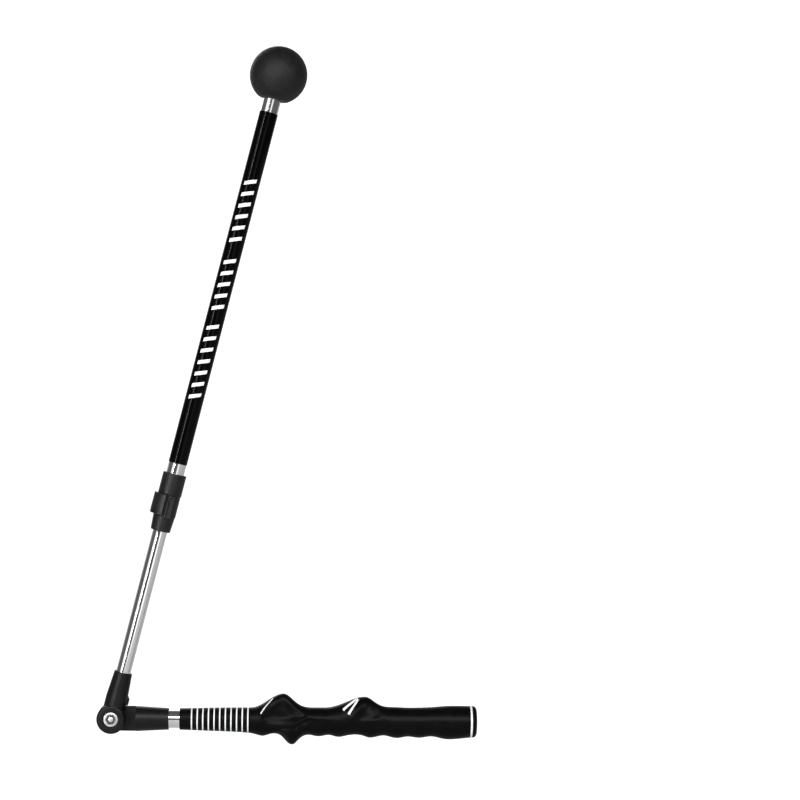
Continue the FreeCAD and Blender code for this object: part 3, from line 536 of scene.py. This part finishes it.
# Rounds of smoothing: for the relief's broad forms and its lips and ridges, for the radii that are
# measured (along and around the grip), and for the rows that are drawn between these.
BROAD_ROUNDS = 34
FINE_ROUNDS = 4
MEASURED_ROUNDS = (2, 6)
DRAWN_ROUNDS = 8


def side_relief(along, height):
    """How far in mm the grip's side stands out (positive) or is pressed in at each point."""
    def ridge(line, tall, wide):
        return tall * np.exp(-(distance_to_line(line, along, height) / wide) ** 2)

    def hollow(outline, deep, slope):
        return -deep * eased(depth_inside(outline, along, height) / slope)

    def swell(centre, tall, wide, high):
        return tall * np.exp(-((along - centre[0]) / wide) ** 2
                             - ((height - centre[1]) / high) ** 2)

    broad = hollow(THUMB_PAD, 3.4, 7.5) + hollow(HOOK_CUP, 1.6, 3.0) + hollow(PALM_HOLLOW, 1.0, 4.5)
    broad += hollow(SECOND_CLIFF, 2.0, 4.0) + swell((129.0, 0.0), 0.35, 4.0, 5.0)
    broad += swell((208.5, 1.0), 0.7, 6.0, 6.0) + swell((229.0, 6.0), 0.5, 6.0, 4.0)
    fine = ridge(PAD_LIP, 1.0, 1.2) + ridge(UNDER_LIP, -0.8, 2.2) + ridge(HOOK_ARCH, 0.8, 1.9)
    fine += (ridge(HOOK_FAR_RIDGE, 0.6, 2.0) + ridge(HOOK_VALLEY, -1.0, 1.6)
             + ridge(SECOND_RIDGE, 0.7, 1.3))
    return smooth_both(broad, BROAD_ROUNDS) + smooth_both(fine, FINE_ROUNDS)


def grip_points():
    """The grip's outer skin: distances along, to the side and up, in rows along and around it."""
    distances, angles, radii = measure_grip()
    rounds_along, rounds_around = MEASURED_ROUNDS
    radii = smooth_columns(smooth_rows(radii, rounds_along), rounds_around)
    start, end = reach("grip_sleeve", GRIP)
    rings = ring_places()
    rows = list(np.linspace(start, end, ROWS))
    for ring in rings:
        for edge in (-RING_WIDTH / 2, RING_WIDTH / 2):
            rows += [ring + edge - GROOVE_EDGE, ring + edge + GROOVE_EDGE]
    rows = np.array(sorted(rows))
    fine = np.stack([np.interp(rows, distances, radii[:, column]) for column in range(AROUND)],
                    axis=1)
    fine = smooth_rows(fine, DRAWN_ROUNDS)
    height = fine * np.cos(angles)
    side = fine * np.sin(angles)
    along = np.repeat(rows[:, None], AROUND, axis=1)
    # The relief fades out towards the top and the bottom of the grip.
    half_width = np.abs(side).max(axis=1)[:, None]
    fade_start, fade_length = 0.12, 0.45
    weight = eased((np.abs(side) / half_width - fade_start) / fade_length)
    side += np.sign(side) * weight * side_relief(along / MM, height / MM) * MM
    for ring in rings:
        groove = np.abs(rows - ring) < RING_WIDTH / 2
        shrink = 1 - RING_DEPTH / np.hypot(height, side)
        height[groove] *= shrink[groove]
        side[groove] *= shrink[groove]
    return along, side, height


def make_grip():
    """The grip's skin, closed by flat ends with the bore for the shaft."""
    along, side, height = grip_points()
    rows = along.shape[0]
    vertices = [(HINGE.x + x, -y, z) for x, y, z in zip(along.flat, side.flat, height.flat)]
    faces = []
    for row in range(rows - 1):
        faces += band_faces(row * AROUND, (row + 1) * AROUND, AROUND)
    bore = widest("handle_shaft", GRIP)
    angles = np.linspace(0, 2 * math.pi, AROUND, endpoint=False)
    for row in (0, rows - 1):
        x = HINGE.x + along[row, 0]
        faces += band_faces(row * AROUND, len(vertices), AROUND)
        vertices += [(x, -bore * math.sin(angle), bore * math.cos(angle)) for angle in angles]
    grip = sharpen(fix_normals(new_object("grip_skin", vertices, faces)), angle=50)
    return finish_piece(grip, "handle", "grip_rubber", "grip_sleeve")


def make_rings(grip):
    """White rings that fill the grip's grooves."""
    tree = tree_of(grip)
    angles = np.linspace(0, 2 * math.pi, 128, endpoint=False)
    half = RING_WIDTH / 2 - RING_GAP
    tall = RING_DEPTH + RING_ROOT + RING_PROUD
    # (shift along the grip, share of the height), with softened outer edges
    shoulder, flat = 0.85, 0.8
    profile = [(-half, 0), (-half, shoulder), (-half * flat, 1),
               (half * flat, 1), (half, shoulder), (half, 0)]
    for number, ring in enumerate(ring_places()):
        centre = place_of(GRIP, 0, 0, ring)
        vertices = []
        for outward in map(outward_at, angles):
            foot = radius_at(tree, centre, outward) - RING_ROOT
            vertices += [centre + GRIP * shift + outward * (foot + tall * share)
                         for shift, share in profile]
        faces = turned_faces(len(angles), len(profile))
        piece = sharpen(fix_normals(new_object(f"grip_ring_{number + 1}", vertices, faces)))
        finish_piece(piece, "handle", "white_paint")


def lay_stroke(name, tree, spine, widths, sign):
    """A painted stroke on the grip's side; sign is -1 for the front and 1 for the back."""
    steps, columns = 28, 4
    lift, thickness, step_down = 0.07 * MM, 0.14 * MM, 0.2 * MM
    start, bend, end = (np.array(point) for point in spine)
    vertices = []
    for step in range(steps + 1):
        share = step / steps
        middle = (1 - share) ** 2 * start + 2 * share * (1 - share) * bend + share ** 2 * end
        direction = 2 * (1 - share) * (bend - start) + 2 * share * (end - bend)
        direction /= np.linalg.norm(direction)
        normal = np.array((-direction[1], direction[0]))
        width = widths[0] + (widths[1] - widths[0]) * share
        for column in range(columns + 1):
            point = middle + normal * width * (column / columns - 0.5)
            origin = Vector((HINGE.x + point[0] * MM, sign * FAR, point[1] * MM))
            hit, facing, _, _ = tree.ray_cast(origin, Vector((0, -sign, 0)))
            while hit is None:  # the ray passed over the grip's outline
                origin.z -= step_down
                hit, facing, _, _ = tree.ray_cast(origin, Vector((0, -sign, 0)))
            vertices.append(hit + facing * lift)
    stroke = thicken(new_object(name, vertices, sheet_faces(steps, columns)), thickness)
    return finish_piece(stroke, "handle", "white_paint")


# Each stroke's start, bend and end as (mm from the hinge, mm above the axis), and its first and
# last width in mm.
STROKES = {
    "thumb_stroke": (((134.4, 6.8), (137.6, 12.4), (145.2, 19.8)), (1.1, 0.5)),
    "upper_stroke": (((208.2, 10.6), (213.6, 15.6), (221.4, 20.4)), (2.0, 1.2)),
    "lower_stroke": (((213.0, 7.2), (216.2, 12.6), (221.9, 19.8)), (2.1, 1.3)),
}


def make_strokes(grip):
    tree = tree_of(grip)
    for name, (spine, widths) in STROKES.items():
        lay_stroke(f"{name}_front", tree, spine, widths, -1)
        lay_stroke(f"{name}_back", tree, spine, widths, 1)


def make_butt():
    """The butt cap with its rounded end and vent, and the white ring between cap and sleeve."""
    low, high = reach("butt_cap", GRIP)
    start = reach("grip_sleeve", GRIP)[1]
    radius = widest("butt_cap", GRIP)
    plug = radius - 3 * MM
    vent = 1.6 * MM
    rounding = 3.4 * MM
    seat = radius - 0.5 * MM
    seam = start + 1.9 * MM
    outline = [(vent, low), (plug, low), (plug, start), (seat, start), (seat, seam),
               (radius - 0.15 * MM, seam), (radius, seam + 0.2 * MM)]
    outline += arc_points((radius - rounding, high - rounding), rounding, 8, 90, 20)
    outline += [(vent + 0.5 * MM, high), (vent, high - 0.4 * MM)]
    cap = lathe("butt_cap_round", GRIP, outline)
    finish_piece(cap, "handle", "cap_rubber", "butt_cap")
    low_ring = start + 0.05 * MM
    high_ring = seam - 0.05 * MM
    inner = radius - 0.8 * MM
    outer = radius + 0.05 * MM
    edge_in = 0.15 * MM
    edge_along = 0.2 * MM
    ring = lathe("butt_ring", GRIP, [
        (inner, low_ring), (outer - edge_in, low_ring), (outer, low_ring + edge_along),
        (outer, high_ring - edge_along), (outer - edge_in, high_ring), (inner, high_ring)])
    finish_piece(ring, "handle", "white_paint")


# ---------------------------------------------------------------- marks on the film

# Groups of bars on the film: the mm along the arm where each group starts, and its number of bars.
# The other sizes of the bars are in mm too.
BAR_GROUPS = ((296.0, 7), (378.0, 5), (441.0, 6))
BAR_PITCH = 10.6
BAR_THICKNESS = 3.4
BAR_HALF_WIDTH = 5.6
BAR_SLANT = 4.2  # how much higher a bar's right end is


def wrap_mark(name, low_left):
    """A thin slanted white bar on the film; low_left is its corner's place along the arm in mm."""
    lift, thickness = 0.03 * MM, 0.05 * MM
    radius = widest("film_sleeve", ARM) + lift
    columns = 12
    left, right = -BAR_HALF_WIDTH, BAR_HALF_WIDTH
    vertices = []
    for start, end in ((low_left, low_left + BAR_SLANT),
                       (low_left + BAR_THICKNESS, low_left + BAR_SLANT + BAR_THICKNESS)):
        for column in range(columns + 1):
            share = column / columns
            across = (left + (right - left) * share) * MM
            distance = (start + (end - start) * share) * MM
            angle = across / radius
            vertices.append(place_of(ARM, radius * math.sin(angle), -radius * math.cos(angle),
                                     distance))
    mark = thicken(new_object(name, vertices, sheet_faces(1, columns)), thickness)
    return finish_piece(mark, "upper_arm", "white_paint")


def make_marks():
    """Groups of slanted bars up the front of the film."""
    number = 0
    for start, bars in BAR_GROUPS:
        for bar in range(bars):
            number += 1
            wrap_mark(f"film_mark_{number}", start + bar * BAR_PITCH)


# ---------------------------------------------------------------- moulded parts

def moulded(node, body, slot, voxel, rounds):
    """A CAD part with the softened edges of a moulding: remeshed finely, then smoothed."""
    piece = add_to_scene(f"{node}_moulded", frame["nodes"][node].data.copy())
    weld(piece, distance=1e-7)
    remesh = piece.modifiers.new("remesh", "REMESH")
    remesh.mode = "VOXEL"
    remesh.voxel_size = voxel
    smooth = piece.modifiers.new("smooth", "SMOOTH")
    smooth.factor = 0.5
    smooth.iterations = rounds
    bake_modifiers(piece)
    piece.data.shade_smooth()
    return finish_piece(piece, body, slot, node)


def make_moulded_parts():
    moulded("arm_knuckle", "lower_arm", "knuckle_plastic", voxel=0.28 * MM, rounds=4)
    moulded("handle_knuckle", "handle", "knuckle_plastic", voxel=0.28 * MM, rounds=4)
    moulded("clamp_body", "upper_arm", "clamp_plastic", voxel=0.24 * MM, rounds=2)
    moulded("clamp_lever", "lever", "clamp_plastic", voxel=0.2 * MM, rounds=2)


# ---------------------------------------------------------------- hinge bolt

BOLT_STEPS = 96  # points around the bolt


def off_bolt_axis(corner):
    return math.hypot(corner.x - HINGE.x, corner.z)


def around_bolt(radius, angle, y):
    return (HINGE.x + radius * math.sin(angle), y, radius * math.cos(angle))


def turned_bolt(low, high):
    """The bolt with a turned head: a rim, a countersink and a hexagonal socket with a boss."""
    shank = 4.0 * MM
    head = max(off_bolt_axis(corner) for corner in corners("hinge_bolt"))
    head_end = max(corner.y for corner in corners("hinge_bolt")
                   if off_bolt_axis(corner) > shank + MM)
    head_length = head_end - low
    length = high - low
    socket = 3.8 * MM
    floor = 2.9 * MM
    # (radius, distance from the head's face, how hexagonal), from the boss to the far end
    outline = [(0, 0.3 * MM, 0), (1.4 * MM, 0.35 * MM, 0), (2.2 * MM, 0.6 * MM, 0),
               (2.6 * MM, 1.2 * MM, 0), (2.65 * MM, floor, 0), (socket, floor, 1),
               (socket, 0.7 * MM, 1), (socket + 0.05 * MM, 0.6 * MM, 1), (4.6 * MM, 0.1 * MM, 0),
               (4.75 * MM, 0, 0), (head - 0.7 * MM, 0, 0), (head - 0.2 * MM, 0.2 * MM, 0),
               (head, 0.7 * MM, 0), (head, head_length - 0.3 * MM, 0),
               (head - 0.3 * MM, head_length, 0), (shank, head_length, 0),
               (shank, length - 0.8 * MM, 0), (shank - 0.8 * MM, length, 0), (0, length, 0)]
    vertices = []
    for angle in circle(BOLT_STEPS):
        sector = (angle + math.pi / 6) % (math.pi / 3) - math.pi / 6
        for radius, distance, hexagonal in outline:
            radius *= 1 + hexagonal * (1 / math.cos(sector) - 1)
            vertices.append(around_bolt(radius, angle, low + distance))
    faces = turned_faces(BOLT_STEPS, len(outline), closed=False)
    return sharpen(fix_normals(weld(new_object("hinge_bolt_turned", vertices, faces))), angle=30)


def painted_socket_shade(low):
    """A dark ring inside the socket, between its wall and the boss: painted shade for the shadow deep in the
    socket, not a part of the bolt.
    """
    inner, outer = 2.68 * MM, 3.78 * MM
    top, bottom = low + 1.3 * MM, low + 2.85 * MM
    outline = [(inner, top), (outer, top), (outer, bottom), (inner, bottom)]
    vertices = [around_bolt(radius, angle, y)
                for angle in circle(BOLT_STEPS) for radius, y in outline]
    faces = turned_faces(BOLT_STEPS, len(outline))
    return sharpen(fix_normals(new_object("bolt_socket_painted_shade", vertices, faces)))


def make_bolt():
    depths = [corner.y for corner in corners("hinge_bolt")]
    low, high = min(depths), max(depths)
    finish_piece(turned_bolt(low, high), "handle", "bolt_steel", "hinge_bolt")
    # The dark ring of painted shade deep in the bolt's socket.
    finish_piece(painted_socket_shade(low), "handle", "liner_plastic")


# ---------------------------------------------------------------- CAD nodes that stay

def dress_cad_nodes():
    """Materials and smooth shading for the CAD nodes."""
    slots = {entry["node"]: entry["material_slot"] for entry in frame["record"]["subparts"]}
    for node, item in frame["nodes"].items():
        item.data.materials.clear()
        item.data.materials.append(materials[slots[node]])
        sharpen(item)


# ---------------------------------------------------------------- camera, light and backdrop

def make_camera():
    """Straight at the middle of the stick's box, with the stick left of the picture's middle."""
    low, high = cad_box
    middle = (Vector(low) + Vector(high)) / 2
    camera = add_to_scene("camera", bpy.data.cameras.new("camera"))
    distance = 2.0
    lens_for_one_metre = 50
    roll = math.radians(0.57)
    camera.data.sensor_width = 36
    camera.data.lens = lens_for_one_metre * distance
    camera.data.shift_x = 0.1377
    camera.data.shift_y = -0.0055
    camera.data.clip_start = 0.01
    camera.data.clip_end = 20
    camera.location = (middle.x, -distance, middle.z)
    camera.rotation_euler = (math.radians(90), 0, 0)
    camera.rotation_euler.rotate_axis("Z", roll)
    bpy.context.scene.camera = camera


def dim_for_others(tree, others, socket):
    """A strength of 1 where the camera looks, and a lower one for all that is lit or mirrored."""
    seen = tree.nodes.new("ShaderNodeLightPath")
    strength = tree.nodes.new("ShaderNodeMapRange")
    strength.inputs["To Min"].default_value = others
    strength.inputs["To Max"].default_value = 1.0
    tree.links.new(seen.outputs["Is Camera Ray"], strength.inputs["Value"])
    tree.links.new(strength.outputs["Result"], socket)


def make_backdrop():
    """A pale floor well below the stick that curves up into a wall behind it."""
    floor_level = cad_box[0][2] - 0.3
    front, wall, bend = -3.0, 4.0, 0.8
    half_width, wall_height = 6.0, 5.0
    bend_steps = 24
    outline = [(front, floor_level), (wall - bend, floor_level)]
    for step in range(1, bend_steps + 1):
        angle = math.pi / 2 * step / bend_steps
        outline.append((wall - bend + bend * math.sin(angle),
                        floor_level + bend * (1 - math.cos(angle))))
    outline.append((wall, floor_level + wall_height))
    vertices = [(x, y, z) for x in (-half_width, half_width) for y, z in outline]
    backdrop = new_object("backdrop", vertices, sheet_faces(1, len(outline) - 1))
    surface = new_material("backdrop", (0.3, 0.3, 0.3), 0.9, level=0.1)
    vary(surface, noise(surface, 3.0), "Roughness", 0.85, 0.95)
    shader = shader_of(surface)
    shader.inputs["Emission Color"].default_value = (1, 1, 1, 1)
    dim_for_others(surface.node_tree, 0.3, shader.inputs["Emission Strength"])
    backdrop.data.materials.append(surface)


def add_light(name, place, target, width, height, radiance):
    """A soft rectangular light of a given brightness, as seen in a mirror."""
    lamp = bpy.data.lights.new(name, "AREA")
    lamp.shape = "RECTANGLE"
    lamp.size = width
    lamp.size_y = height
    lamp.energy = radiance * math.pi * width * height
    light = add_to_scene(name, lamp)
    light.location = place
    light.rotation_euler = (Vector(target) - Vector(place)).to_track_quat("-Z", "Y").to_euler()


LIT_MIDDLE = (-0.1, 0, 0.6)  # what the large lights face


def on_ring(azimuth, distance):
    """A place around LIT_MIDDLE: azimuth 0 is the camera's side and positive is to its right."""
    angle = math.radians(azimuth)
    x, y, height = LIT_MIDDLE
    return (distance * math.sin(angle) + x, y - distance * math.cos(angle), height)


def make_lights():
    """Panels and a strip that draw the bands in the chrome, and soft lights for the black parts."""
    add_light("left_panel", on_ring(-42, 1.8), LIT_MIDDLE, 0.85, 1.9, 1.0)
    add_light("left_strip", on_ring(-33, 1.7), LIT_MIDDLE, 0.04, 1.9, 75)
    add_light("right_panel", on_ring(20, 1.8), LIT_MIDDLE, 0.62, 1.9, 0.9)
    add_light("back_fill", (-0.8, 2.6, 1.6), LIT_MIDDLE, 1.8, 1.4, 2.5)
    add_light("ball_glow", (1.3, -1.9, 1.15), (-0.04, 0, 0.58), 0.45, 0.45, 16)
    add_light("front_top", (0.0, -3.0, 1.75), (0, 0, 0.0), 2.4, 1.1, 8)


def make_world():
    world = bpy.data.worlds.new("studio")
    world.use_nodes = True
    background = world.node_tree.nodes["Background"]
    background.inputs["Color"].default_value = (1, 1, 1, 1)
    dim_for_others(world.node_tree, 0.12, background.inputs["Strength"])
    bpy.context.scene.world = world
    bpy.context.scene.view_settings.view_transform = "Standard"


make_camera()
make_backdrop()
make_lights()
make_world()
dress_cad_nodes()
make_tubes()
make_ball()
grip_piece = make_grip()
make_rings(grip_piece)
make_strokes(grip_piece)
make_butt()
make_marks()
make_moulded_parts()
make_bolt()
